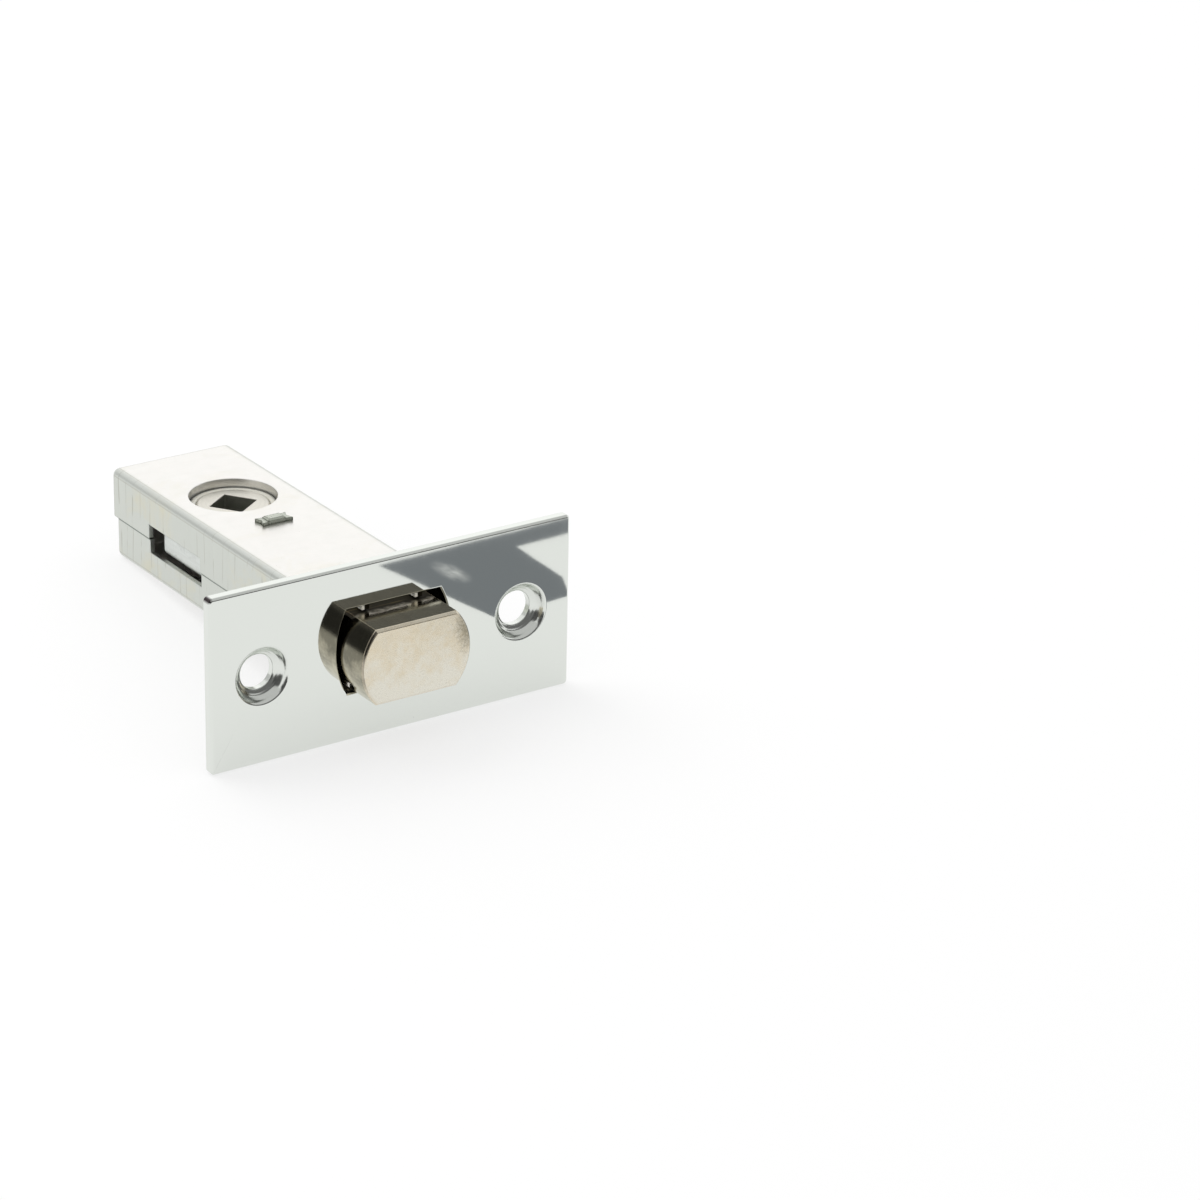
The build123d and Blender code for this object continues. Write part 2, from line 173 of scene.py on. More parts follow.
# Cloudy blotches, as on thin plating
def makeStain():
    inputs = {
        "Vector": vectorKind,
        "Size": ("NodeSocketFloat", 0.12),
        "Amount": ("NodeSocketFloat", 0.5),
    }
    group, start, end = newGroup("platedStain", inputs, ["Mask"])
    clouds = noise(group, start.outputs["Vector"], start.outputs["Size"], 5.0, 0.62, 0.6)
    lowEnd = calc(group, "SUBTRACT", 0.8, calc(group, "MULTIPLY", start.outputs["Amount"], 0.5))
    mask = remap(group, clouds, lowEnd, 0.85)
    group.links.new(mask, end.inputs["Mask"])
    return group


# Pits and dust: scattered dots of uneven size
def makeSpecks():
    inputs = {
        "Vector": vectorKind,
        "Scale": ("NodeSocketFloat", 1.0),
        "Size": ("NodeSocketFloat", 0.06),
        "Share": ("NodeSocketFloat", 0.3),
    }
    group, start, end = newGroup("specks", inputs, ["Mask"])
    sockets = {"Vector": start.outputs["Vector"], "Scale": start.outputs["Scale"]}
    cells = addNode(group, "ShaderNodeTexVoronoi", sockets)
    parts = addNode(group, "ShaderNodeSeparateColor", {0: cells.outputs["Color"]})
    picked = calc(group, "LESS_THAN", parts.outputs[0], start.outputs["Share"])
    size = calc(group, "MULTIPLY", start.outputs["Size"], remap(group, parts.outputs[1], 0, 1, 0.4, 1.0))
    dot = calc(group, "LESS_THAN", cells.outputs["Distance"], size)
    group.links.new(calc(group, "MULTIPLY", dot, picked), end.inputs["Mask"])
    return group


outerEdgeMask = makeOuterEdgeMask()
brushLines = makeBrushLines()
fineScratches = makeScratches()
platedStain = makeStain()
specks = makeSpecks()
print("shader groups made")


# A new metal or plastic: returns its material, tree, shader and the object coordinates in millimetres
def startFinish(name, metallic=1.0):
    material = bpy.data.materials.new(name)
    material.use_nodes = True
    tree = material.node_tree
    tree.nodes.clear()
    shader = addNode(tree, "ShaderNodeBsdfPrincipled", {"Metallic": metallic})
    addNode(tree, "ShaderNodeOutputMaterial", {"Surface": shader.outputs[0]})
    place = addNode(tree, "ShaderNodeTexCoord").outputs["Object"]
    sockets = {0: place, 3: 1 / mm}
    scaled = addNode(tree, "ShaderNodeVectorMath", sockets, operation="SCALE").outputs[0]
    return material, tree, shader, scaled


def bump(tree, height, depth, below=None):
    sockets = {"Height": height, "Distance": depth, "Strength": 1.0}
    if below is not None:
        sockets["Normal"] = below
    return addNode(tree, "ShaderNodeBump", sockets).outputs[0]


def feed(tree, shader, **values):
    for name, socket in values.items():
        tree.links.new(socket, shader.inputs[name.replace("_", " ")])


# Faceplate: mirror chrome, slightly wavy from the press, with a little dust, hair scratches,
# turned rings in the screw holes and a dark spot painted in one corner as a painted dark reflection
chromeLook = {
    "colour": (0.74, 0.765, 0.725, 1),
    "dustColour": (0.60, 0.61, 0.59, 1),
    "roughness": (0.03, 0.11),
    "waveSize": 0.11,
    "waveDepth": 0.006 * mm,
    "polishStretch": (3.0, 3.0, 0.25),
    "polishDepth": 0.00012 * mm,
    "scratchDepth": 0.0015 * mm,
    "holePlace": 20.5,
    "dishRadius": 4.15,
    "dishRoughness": 0.17,
    "ringsPerMm": 2.3,
    "ringDepth": 0.006 * mm,
    "darkReflectionPlace": (-28.5, 12.7),
    "darkReflectionReach": (0.3, 0.7),
    "darkReflectionColour": (0.04, 0.025, 0.03, 1),
}


def makeChrome():
    look = chromeLook
    material, tree, shader, place = startFinish("polishedChrome")
    waves = noise(tree, place, look["waveSize"], 2.0, 0.4)
    polish = useGroup(tree, brushLines, {"Vector": place, "Stretch": look["polishStretch"]})
    hair = useGroup(tree, fineScratches, {"Vector": place, "Density": 0.35, "Thickness": 0.018}).outputs[0]
    dust = useGroup(tree, specks, {"Vector": place, "Scale": 0.7, "Size": 0.06, "Share": 0.35}).outputs[0]
    colour = blendColour(tree, calc(tree, "MULTIPLY", dust, 0.7), look["colour"], look["dustColour"])
    low, high = look["roughness"]
    marks = calc(tree, "MAXIMUM", calc(tree, "MULTIPLY", hair, 0.5), dust)
    soft = calc(tree, "MAXIMUM", marks, calc(tree, "MULTIPLY", polish.outputs["Mask"], 0.25))
    rough = remap(tree, soft, 0, 1, low, high)
    parts = addNode(tree, "ShaderNodeSeparateXYZ", {0: place})
    fromHole = calc(tree, "SUBTRACT", calc(tree, "ABSOLUTE", parts.outputs[0]), look["holePlace"])
    flat = makeVector(tree, fromHole, 0.0, parts.outputs[2])
    radius = addNode(tree, "ShaderNodeVectorMath", {0: flat}, operation="LENGTH").outputs["Value"]
    dish = calc(tree, "LESS_THAN", radius, look["dishRadius"])
    rings = calc(tree, "SINE", calc(tree, "MULTIPLY", radius, look["ringsPerMm"] * fullTurn))
    rings = calc(tree, "MULTIPLY", rings, dish)
    # A near-black spot painted in the top left corner: a painted dark reflection
    cornerX, cornerZ = look["darkReflectionPlace"]
    fromCorner = makeVector(
        tree,
        calc(tree, "SUBTRACT", parts.outputs[0], cornerX),
        0.0,
        calc(tree, "SUBTRACT", parts.outputs[2], cornerZ),
    )
    cornerReach = addNode(
        tree, "ShaderNodeVectorMath", {0: fromCorner}, operation="LENGTH"
    ).outputs["Value"]
    paintedDarkReflection = remap(tree, cornerReach, *look["darkReflectionReach"], 0.95, 0.0)
    colour = blendColour(tree, paintedDarkReflection, colour, look["darkReflectionColour"])
    rough = calc(tree, "MAXIMUM", rough, calc(tree, "MULTIPLY", dish, look["dishRoughness"]))
    normal = bump(tree, waves, look["waveDepth"])
    normal = bump(tree, rings, look["ringDepth"], normal)
    normal = bump(tree, polish.outputs["Height"], look["polishDepth"], normal)
    normal = bump(tree, hair, look["scratchDepth"] * -1, normal)
    feed(tree, shader, Base_Color=colour, Roughness=rough, Normal=normal)
    return material


# Bolt: satin nickel over brass, ground across its length, cloudy on the nose and rubbed at the corners,
# with painted shade on its round sides, darker towards the top, and grease and painted shade on its flats
nickelLook = {
    "colour": (0.74, 0.67, 0.53, 1),
    "coolColour": (0.72, 0.685, 0.575, 1),
    "tanColour": (0.68, 0.58, 0.41, 1),
    "paleColour": (0.75, 0.725, 0.635, 1),
    "paleBand": (2.5, -4.0),
    "darkColour": (0.40, 0.36, 0.29, 1),
    "edgeColour": (0.78, 0.66, 0.47, 1),
    "sideRoughness": (0.09, 0.20),
    "noseRoughness": (0.20, 0.32),
    "groundStretch": (0.12, 9.0, 0.12),
    "groundDepth": 0.0005 * mm,
    "slideStretch": (6.0, 0.35, 6.0),
    "slideDepth": 0.0022 * mm,
    "grainDepth": 0.0012 * mm,
    "noseFront": -5.9,
    "sideShadeColour": (0.13, 0.12, 0.095, 1),
    "roundFrom": 6.4,
    "sideShadeFrom": -4.2,
    "sideShadeTo": 1.6,
    "greaseShadeColour": (0.022, 0.019, 0.011, 1),
    "greaseShadeLineColour": (0.17, 0.135, 0.055, 1),
    "greaseRoughness": 0.75,
    "greaseShadeFrom": -1.0,
    "greaseShadeTo": 0.35,
    "darkPatchCentre": (8.2, 3.4),
    "darkPatchReach": (2.3, 4.2),
    "darkPatchColour": (0.27, 0.24, 0.17, 1),
}


def makeNickel():
    look = nickelLook
    material, tree, shader, place = startFinish("nickelPlate")
    ground = useGroup(tree, brushLines, {"Vector": place, "Stretch": look["groundStretch"]})
    slide = useGroup(tree, brushLines, {"Vector": place, "Stretch": look["slideStretch"], "Spread": 0.1})
    clouds = useGroup(tree, platedStain, {"Vector": place, "Size": 0.16, "Amount": 0.95}).outputs[0]
    burnish = useGroup(tree, platedStain, {"Vector": place, "Size": 0.33, "Amount": 0.5}).outputs[0]
    hair = useGroup(tree, fineScratches, {"Vector": place, "Density": 0.7, "Thickness": 0.035}).outputs[0]
    pits = useGroup(tree, specks, {"Vector": place, "Scale": 1.3, "Size": 0.13, "Share": 0.3}).outputs[0]
    edgeMarks = useGroup(tree, outerEdgeMask, {"Vector": place, "Width": 0.22 * mm, "Grain": 1.5}).outputs[0]
    parts = addNode(tree, "ShaderNodeSeparateXYZ", {0: place})
    nose = calc(tree, "LESS_THAN", parts.outputs[1], look["noseFront"])
    sides = calc(tree, "SUBTRACT", 1.0, nose)
    grain = noise(tree, place, 7.0, 4.0, 0.7)
    colour = blendColour(tree, clouds, look["colour"], look["coolColour"])
    worn = calc(tree, "MULTIPLY", calc(tree, "MULTIPLY", slide.outputs["Mask"], sides), 0.6)
    dark = calc(tree, "MAXIMUM", worn, calc(tree, "MULTIPLY", burnish, 0.25))
    dark = calc(tree, "MAXIMUM", dark, calc(tree, "MULTIPLY", pits, 0.8))
    colour = blendColour(tree, dark, colour, look["darkColour"])
    cloudy = noise(tree, place, 0.55, 4.0, 0.6)
    # The round sides are painted darker towards the top: painted shade, broken up by noise
    height = calc(tree, "ADD", parts.outputs[2], remap(tree, cloudy, 0.3, 0.7, -2.0, 2.0))
    across = calc(tree, "ABSOLUTE", parts.outputs[0])
    onRound = remap(tree, across, look["roundFrom"], look["roundFrom"] + 0.5)
    sideShade = remap(tree, height, look["sideShadeFrom"], look["sideShadeTo"], 0.0, 0.8)
    sideShade = calc(tree, "MULTIPLY", calc(tree, "MULTIPLY", sideShade, onRound), sides)
    colour = blendColour(tree, sideShade, colour, look["sideShadeColour"])
    # The flats are painted near black and matt where they run inside the plate: grease and painted shade,
    # with brown wiped lines
    onFlat = calc(tree, "SUBTRACT", 1.0, onRound)
    greaseShadeEdge = calc(tree, "ADD", parts.outputs[1], remap(tree, cloudy, 0.3, 0.7, -0.5, 0.5))
    greaseAndShade = remap(tree, greaseShadeEdge, look["greaseShadeFrom"], look["greaseShadeTo"], 0.0, 0.95)
    greaseAndShade = calc(tree, "MULTIPLY", calc(tree, "MULTIPLY", greaseAndShade, onFlat), sides)
    wiped = noise(tree, stretch(tree, place, (0.12, 3.4, 1.0)), 1.0, 3.0, 0.6)
    greaseShadeTone = blendColour(
        tree, remap(tree, wiped, 0.56, 0.66), look["greaseShadeColour"], look["greaseShadeLineColour"]
    )
    colour = blendColour(tree, greaseAndShade, colour, greaseShadeTone)
    mottle = noise(tree, place, 1.1, 5.0, 0.7)
    mottled = calc(tree, "MULTIPLY", remap(tree, mottle, 0.42, 0.66, 0.0, 0.5), nose)
    colour = blendColour(tree, mottled, colour, look["tanColour"])
    paleEdge = calc(tree, "ADD", parts.outputs[2], remap(tree, cloudy, 0.3, 0.7, -3.0, 3.0))
    lower = remap(tree, paleEdge, *look["paleBand"])
    colour = blendColour(tree, calc(tree, "MULTIPLY", lower, nose), colour, look["paleColour"])
    peppered = remap(tree, noise(tree, place, 4.2, 3.0, 0.6), 0.55, 0.75, 0.0, 0.3)
    speckled = calc(tree, "MULTIPLY", peppered, nose)
    colour = blendColour(tree, speckled, colour, look["darkColour"])
    # A darker patch at the upper right of the nose, fading out from near its right edge
    darkPatchX, darkPatchZ = look["darkPatchCentre"]
    reachX, reachZ = look["darkPatchReach"]
    awayX = calc(tree, "DIVIDE", calc(tree, "SUBTRACT", parts.outputs[0], darkPatchX), reachX)
    awayZ = calc(tree, "DIVIDE", calc(tree, "SUBTRACT", parts.outputs[2], darkPatchZ), reachZ)
    fromDarkPatch = makeVector(tree, awayX, 0.0, awayZ)
    reach = addNode(tree, "ShaderNodeVectorMath", {0: fromDarkPatch}, operation="LENGTH").outputs["Value"]
    crumbs = noise(tree, place, 3.1, 4.0, 0.7)
    ragged = calc(tree, "ADD", reach, remap(tree, crumbs, 0.3, 0.7, -0.35, 0.35))
    darkPatch = calc(tree, "MULTIPLY", remap(tree, ragged, 0.3, 1.1, 0.8, 0.0), nose)
    colour = blendColour(tree, darkPatch, colour, look["darkPatchColour"])
    colour = blendColour(tree, calc(tree, "MULTIPLY", edgeMarks, 0.75), colour, look["edgeColour"])
    sideRough = remap(tree, ground.outputs["Mask"], 0, 1, *look["sideRoughness"])
    noseRough = remap(tree, grain, 0.3, 0.7, *look["noseRoughness"])
    onSides = calc(tree, "MULTIPLY", sideRough, sides)
    rough = calc(tree, "ADD", onSides, calc(tree, "MULTIPLY", noseRough, nose))
    rough = calc(tree, "ADD", rough, calc(tree, "MULTIPLY", edgeMarks, 0.22))
    rough = calc(tree, "MAXIMUM", rough, calc(tree, "MULTIPLY", greaseAndShade, look["greaseRoughness"]))
    groundOnly = calc(tree, "MULTIPLY", ground.outputs["Height"], sides)
    normal = bump(tree, groundOnly, look["groundDepth"])
    slideOnly = calc(tree, "MULTIPLY", slide.outputs["Mask"], sides)
    normal = bump(tree, slideOnly, look["slideDepth"] * -1, normal)
    normal = bump(tree, calc(tree, "MULTIPLY", grain, nose), look["grainDepth"], normal)
    normal = bump(tree, hair, look["grainDepth"] * -1, normal)
    feed(tree, shader, Base_Color=colour, Roughness=rough, Normal=normal)
    return material


# Case: bright zinc on rolled sheet, with lines across its length and faint yellow stains, and painted shade
# on its walls and bends.
# Its front end is painted dark inside for grease and painted shade, but for narrow strips painted pale
# along the tabs as painted glints
zincLook = {
    "colour": (0.84, 0.825, 0.795, 1),
    "cloudAndShadeGrey": (0.60, 0.63, 0.58, 1),
    "stainColour": (0.70, 0.65, 0.46, 1),
    "lineAndShadeColour": (0.42, 0.42, 0.36, 1),
    "edgeColour": (0.56, 0.59, 0.58, 1),
    "roughness": (0.24, 0.40),
    "rollStretch": (0.10, 3.2, 0.10),
    "rollDepth": 0.0016 * mm,
    "bendFrom": 8.2,
    "paintedWallShade": 0.85,
    "insideShadeEnd": (9.25, 20.0, 6.3),
    "insideGreaseShadeColour": (0.05, 0.043, 0.028, 1),
    "insideRoughness": 0.8,
    "slotEnd": (7.45, 3.4),
    "tabGlintEdges": (0.45, 4.2, 0.28),
    "tabGlintColour": (0.93, 0.90, 0.80, 1),
    "tabGlintEnd": 2.3,
    "rippleDepth": 0.004 * mm,
    "markStretch": (0.02, 0.21, 0.02),
    "markSpacing": 2.3,
    "markDrift": 14.0,
    "markEdge": 0.955,
    "bendStart": (8.6, 60.9, 5.65),
    "bendRadius": 1.1,
    "bendShadeColour": (0.62, 0.645, 0.61, 1),
    "seamHeight": -0.58,
    "seamColour": (0.24, 0.27, 0.24, 1),
}


def makeZinc():
    look = zincLook
    material, tree, shader, place = startFinish("zincSheet")
    rolled = useGroup(tree, brushLines, {"Vector": place, "Stretch": look["rollStretch"]})
    cracks = useGroup(tree, brushLines, {"Vector": place, "Stretch": (0.05, 2.1, 0.16), "Spread": -0.3})
    stain = useGroup(tree, platedStain, {"Vector": place, "Size": 0.13, "Amount": 0.55}).outputs[0]
    cloud = useGroup(tree, platedStain, {"Vector": place, "Size": 0.45, "Amount": 0.9}).outputs[0]
    hair = useGroup(tree, fineScratches, {"Vector": place, "Density": 0.4, "Thickness": 0.03}).outputs[0]
    pits = useGroup(tree, specks, {"Vector": place, "Scale": 1.0, "Size": 0.09, "Share": 0.2}).outputs[0]
    edgeMarks = useGroup(tree, outerEdgeMask, {"Vector": place, "Width": 0.18 * mm, "Grain": 1.2}).outputs[0]
    parts = addNode(tree, "ShaderNodeSeparateXYZ", {0: place})
    across = calc(tree, "ABSOLUTE", parts.outputs[0])
    walls = remap(tree, across, look["bendFrom"], look["bendFrom"] + 1.2)
    paintedWallShade = calc(tree, "MULTIPLY", walls, look["paintedWallShade"])
    beyond = []
    for axis in range(3):
        reach = parts.outputs[axis] if axis == 1 else calc(tree, "ABSOLUTE", parts.outputs[axis])
        past = calc(tree, "MAXIMUM", calc(tree, "SUBTRACT", reach, look["bendStart"][axis]), 0.0)
        beyond.append(calc(tree, "DIVIDE", past, look["bendRadius"]))
    lesser = calc(tree, "MINIMUM", beyond[0], beyond[1])
    greater = calc(tree, "MAXIMUM", beyond[0], beyond[1])
    inBend = calc(tree, "MAXIMUM", lesser, calc(tree, "MINIMUM", greater, beyond[2]))
    # The rolled bends are painted grey, with a darker line along them: painted shade
    bendShade = remap(tree, inBend, 0.02, 0.3)
    bendRise = remap(tree, inBend, 0.02, 0.12)
    bendShadeLine = calc(tree, "MULTIPLY", bendRise, remap(tree, inBend, 0.14, 0.30, 1, 0))
    fromSeam = calc(tree, "ABSOLUTE", calc(tree, "SUBTRACT", parts.outputs[2], look["seamHeight"]))
    seam = calc(tree, "MULTIPLY", remap(tree, fromSeam, 0.08, 0.26, 1, 0), walls)
    ripple = noise(tree, place, 0.5, 3.0, 0.5)
    # The side walls are painted greyer than the top: painted shade, mixed with faint grey clouds
    cloudAndWallShade = calc(tree, "MAXIMUM", calc(tree, "MULTIPLY", cloud, 0.15), paintedWallShade)
    # The walls are painted greyer close to the plate, in the edge colour: painted shade
    shadeNearPlate = calc(tree, "MULTIPLY", remap(tree, parts.outputs[1], 2.0, 9.0, 0.5, 0.0), walls)
    colour = blendColour(tree, cloudAndWallShade, look["colour"], look["cloudAndShadeGrey"])
    stained = calc(tree, "MULTIPLY", stain, remap(tree, walls, 0, 1, 0.30, 0.85))
    colour = blendColour(tree, stained, colour, look["stainColour"])
    drift = noise(tree, stretch(tree, place, look["markStretch"]), 1.0, 2.0, 0.5)
    phase = calc(tree, "MULTIPLY", parts.outputs[1], fullTurn / look["markSpacing"])
    phase = calc(tree, "ADD", phase, calc(tree, "MULTIPLY", drift, look["markDrift"]))
    marks = remap(tree, calc(tree, "SINE", phase), look["markEdge"], 1.0, 0.0, 0.65)
    fade = noise(tree, stretch(tree, place, (0.05, 0.33, 0.28)), 1.0, 2.0, 0.5)
    marks = calc(tree, "MULTIPLY", calc(tree, "MULTIPLY", marks, remap(tree, fade, 0.44, 0.56)), walls)
    lines = calc(tree, "MULTIPLY", cracks.outputs["Mask"], remap(tree, walls, 0, 1, 0.0, 0.9))
    lines = calc(tree, "MAXIMUM", lines, marks)
    lines = calc(tree, "MAXIMUM", lines, calc(tree, "MULTIPLY", pits, 0.35))
    colour = blendColour(tree, lines, colour, look["lineAndShadeColour"])
    colour = blendColour(tree, calc(tree, "MULTIPLY", bendShade, 0.55), colour, look["bendShadeColour"])
    colour = blendColour(tree, calc(tree, "MULTIPLY", bendShadeLine, 0.5), colour, look["lineAndShadeColour"])
    colour = blendColour(tree, calc(tree, "MULTIPLY", edgeMarks, 0.6), colour, look["edgeColour"])
    colour = blendColour(tree, shadeNearPlate, colour, look["edgeColour"])
    colour = blendColour(tree, seam, colour, look["seamColour"])
    # The front end inside the case and the slots are painted near black and matt: grease and painted shade
    greaseAndShadeInside = 1.0
    for axis in range(3):
        reach = parts.outputs[axis] if axis == 1 else calc(tree, "ABSOLUTE", parts.outputs[axis])
        greaseAndShadeInside = calc(tree, "MULTIPLY", calc(tree, "LESS_THAN", reach, look["insideShadeEnd"][axis]), greaseAndShadeInside)
    slotX, slotY = look["slotEnd"]
    slot = calc(tree, "LESS_THAN", across, slotX)
    slot = calc(tree, "MULTIPLY", slot, calc(tree, "LESS_THAN", parts.outputs[1], slotY))
    greaseAndShadeInside = calc(tree, "MAXIMUM", greaseAndShadeInside, slot)
    # Narrow strips along the tabs are painted pale and not metallic: painted glints
    shift, edgePlace, half = look["tabGlintEdges"]
    shifted = calc(tree, "ABSOLUTE", calc(tree, "ADD", parts.outputs[0], shift))
    fromEdge = calc(tree, "ABSOLUTE", calc(tree, "SUBTRACT", shifted, edgePlace))
    tabGlint = calc(tree, "LESS_THAN", fromEdge, half)
    tabGlint = calc(tree, "MULTIPLY", tabGlint, calc(tree, "LESS_THAN", parts.outputs[1], look["tabGlintEnd"]))
    greaseAndShadeInside = calc(tree, "SUBTRACT", greaseAndShadeInside, tabGlint)
    colour = blendColour(tree, greaseAndShadeInside, colour, look["insideGreaseShadeColour"])
    colour = blendColour(tree, tabGlint, colour, look["tabGlintColour"])
    tree.links.new(remap(tree, tabGlint, 0, 1, 1.0, 0.0), shader.inputs["Metallic"])
    low, high = look["roughness"]
    rough = remap(tree, calc(tree, "MAXIMUM", rolled.outputs["Mask"], cloud), 0, 1, low, high)
    rough = calc(tree, "MAXIMUM", rough, calc(tree, "MULTIPLY", greaseAndShadeInside, look["insideRoughness"]))
    normal = bump(tree, ripple, look["rippleDepth"])
    normal = bump(tree, rolled.outputs["Height"], look["rollDepth"], normal)
    normal = bump(tree, calc(tree, "MAXIMUM", lines, hair), look["rollDepth"] * -1, normal)
    feed(tree, shader, Base_Color=colour, Roughness=rough, Normal=normal)
    return material


# Follower: as-cast zinc alloy, faintly warm, with a grainy skin, turned rings and a socket painted darker
# as painted shade
castLook = {
    "colour": (0.745, 0.725, 0.655, 1),
    "darkColour": (0.45, 0.435, 0.385, 1),
    "roughness": (0.30, 0.5),
    "grainDepth": 0.006 * mm,
    "ringDepth": 0.004 * mm,
    "centre": (0, -43.5, 0),
    "socketRadius": 3.72,
    "socketTop": 5.35,
    "socketShadeColour": (0.44, 0.445, 0.40, 1),
    "edgeColour": (0.86, 0.83, 0.80, 1),
    "ringsPerMm": 1.6,
}


def makeCast():
    look = castLook
    material, tree, shader, place = startFinish("castZinc")
    centred = stretch(tree, place, (1, 1, 0), place=look["centre"])
    radius = addNode(tree, "ShaderNodeVectorMath", {0: centred}, operation="LENGTH").outputs["Value"]
    rings = calc(tree, "SINE", calc(tree, "MULTIPLY", radius, look["ringsPerMm"] * fullTurn))
    rings = remap(tree, rings, 0.2, 1.0)
    grain = noise(tree, place, 5.0, 5.0, 0.65)
    blotch = useGroup(tree, platedStain, {"Vector": place, "Size": 0.7, "Amount": 0.7}).outputs[0]
    edgeMarks = useGroup(tree, outerEdgeMask, {"Vector": place, "Width": 0.2 * mm, "Grain": 2.0}).outputs[0]
    dark = calc(tree, "MULTIPLY", blotch, 0.3)
    dark = calc(tree, "MAXIMUM", dark, calc(tree, "MULTIPLY", rings, 0.12))
    colour = blendColour(tree, dark, look["colour"], look["darkColour"])
    colour = blendColour(tree, calc(tree, "MULTIPLY", edgeMarks, 0.3), colour, look["edgeColour"])
    # The socket's walls are painted darker: painted shade in the recess
    height = calc(tree, "ABSOLUTE", addNode(tree, "ShaderNodeSeparateXYZ", {0: place}).outputs[2])
    deep = calc(tree, "LESS_THAN", height, look["socketTop"])
    socket = calc(tree, "MULTIPLY", calc(tree, "LESS_THAN", radius, look["socketRadius"]), deep)
    colour = blendColour(tree, socket, colour, look["socketShadeColour"])
    low, high = look["roughness"]
    rough = remap(tree, grain, 0.3, 0.7, low, high)
    normal = bump(tree, grain, look["grainDepth"])
    normal = bump(tree, rings, look["ringDepth"], normal)
    feed(tree, shader, Base_Color=colour, Roughness=rough, Normal=normal)
    return material


# Bushes: natural plastic with a soft sheen and fine mould grain, and a dark ring painted round the outer
# rim as painted shade
bushLook = {
    "colour": (0.70, 0.685, 0.61, 1), "tint": (0.64, 0.625, 0.54, 1), "grainDepth": 0.002 * mm,
    "rimShadeFrom": 5.85, "rimShadeColour": (0.16, 0.165, 0.15, 1), "centre": (0, -43.5, 0),
}


def makeBushPlastic():
    look = bushLook
    material, tree, shader, place = startFinish("bushPlastic", metallic=0.0)
    shader.inputs["Subsurface Weight"].default_value = 0.15
    shader.inputs["Subsurface Radius"].default_value = (0.8 * mm, 0.7 * mm, 0.6 * mm)
    shader.inputs["Subsurface Scale"].default_value = 1.0
    cloud = useGroup(tree, platedStain, {"Vector": place, "Size": 0.5, "Amount": 0.9}).outputs[0]
    grain = noise(tree, place, 9.0, 3.0, 0.6)
    centred = stretch(tree, place, (1, 1, 0), place=look["centre"])
    radius = addNode(tree, "ShaderNodeVectorMath", {0: centred}, operation="LENGTH").outputs["Value"]
    # A dark ring painted round the outer rim: painted shade in the gap to the case
    rim = remap(tree, radius, look["rimShadeFrom"], look["rimShadeFrom"] + 0.25)
    colour = blendColour(tree, cloud, look["colour"], look["tint"])
    feed(
        tree,
        shader,
        Base_Color=blendColour(tree, rim, colour, look["rimShadeColour"]),
        Roughness=remap(tree, grain, 0.3, 0.7, 0.38, 0.5),
        Normal=bump(tree, grain, look["grainDepth"]),
    )
    return material


# Steels that are staked, pressed, ground or rolled: one recipe, with its own values for each
# The staked steel's edges and crevices are painted near black: dirt and painted shade
stakedLook = {
    "name": "stakedSteel", "colour": (0.56, 0.59, 0.51, 1), "dark": (0.15, 0.17, 0.13, 1),
    "roughness": (0.20, 0.38), "stretch": (1.6, 2.0, 1.6), "depth": 0.05 * mm, "stain": 0.6, "edge": 1.0,
    "edgeColour": (0.05, 0.06, 0.04, 1), "metallic": 0.45,
    "edgeWidth": 0.3 * mm, "edgeReach": 0.022, "dirtShadeReach": 0.8 * mm,
}
tailLook = {
    "name": "tailSteel", "colour": (0.82, 0.85, 0.82, 1), "dark": (0.55, 0.57, 0.54, 1),
    "roughness": (0.36, 0.55), "stretch": (4.0, 0.2, 4.0), "depth": 0.002 * mm, "stain": 0.7, "edge": 0.5,
    "edgeColour": (0.72, 0.73, 0.70, 1), "metallic": 0.7,
    "edgeWidth": 0.2 * mm, "edgeReach": 0.12,
}
pinLook = {
    "name": "pinSteel", "colour": (0.58, 0.59, 0.60, 1), "dark": (0.32, 0.32, 0.32, 1),
    "roughness": (0.16, 0.30), "stretch": (0.3, 0.3, 8.0), "depth": 0.001 * mm, "stain": 0.4, "edge": 0.5,
    "edgeColour": (0.72, 0.73, 0.70, 1), "metallic": 1.0,
    "edgeWidth": 0.2 * mm, "edgeReach": 0.12,
}
springLook = {
    "name": "springSteel", "colour": (0.50, 0.51, 0.52, 1), "dark": (0.20, 0.20, 0.21, 1),
    "roughness": (0.2, 0.36), "stretch": (0.4, 0.4, 9.0), "depth": 0.001 * mm, "stain": 0.6, "edge": 0.5,
    "edgeColour": (0.72, 0.73, 0.70, 1), "metallic": 1.0,
    "edgeWidth": 0.2 * mm, "edgeReach": 0.12,
}


